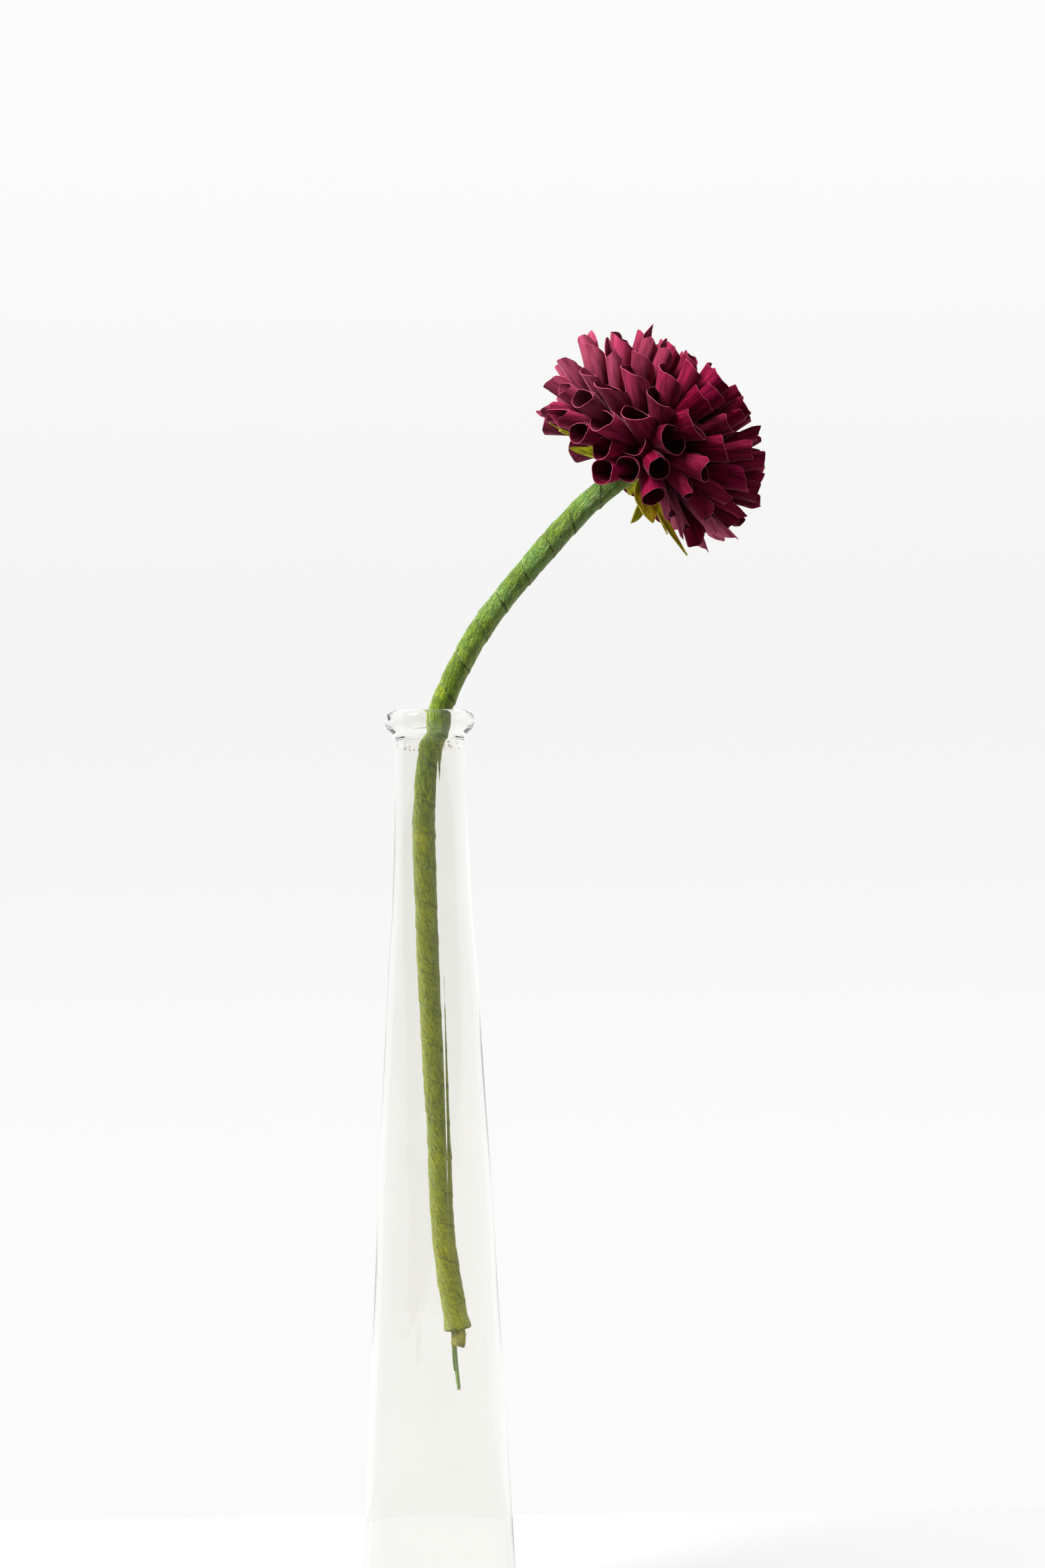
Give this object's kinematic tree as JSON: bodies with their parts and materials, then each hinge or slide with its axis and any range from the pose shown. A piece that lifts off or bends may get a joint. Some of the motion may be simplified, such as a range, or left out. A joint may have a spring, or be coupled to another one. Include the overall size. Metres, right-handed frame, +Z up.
{
  "type": "crepe paper ball dahlia in a tall glass bottle vase",
  "caption": "Handmade crepe-paper ball dahlia with rolled wine-red petals on a wrapped wire stem, leaning from a tall clear glass bottle vase.",
  "frame": {"origin": "centre of the vase's flat bottom, on the vase's axis", "axes": "+Z up along the vase's axis, +X to the picture's right, where the bloom leans, -Y towards the camera"},
  "size_m": [0.1639, 0.1001, 0.502],
  "materials": {
    "vase_glass": "gloss",
    "stem_crepe": "matte",
    "core_paper": "matte",
    "stem_wire_metal": "satin",
    "sepal_crepe": "matte",
    "petal_crepe": "matte",
    "centre_crepe": "matte"
  },
  "bodies": {
    "root": {"vase": "vase_glass", "stem_wrap": "stem_crepe", "stem_core": "core_paper", "stem_wire": "stem_wire_metal", "calyx": "sepal_crepe", "bloom": "petal_crepe", "bloom_centre": "centre_crepe"}
  },
  "joints": []
}
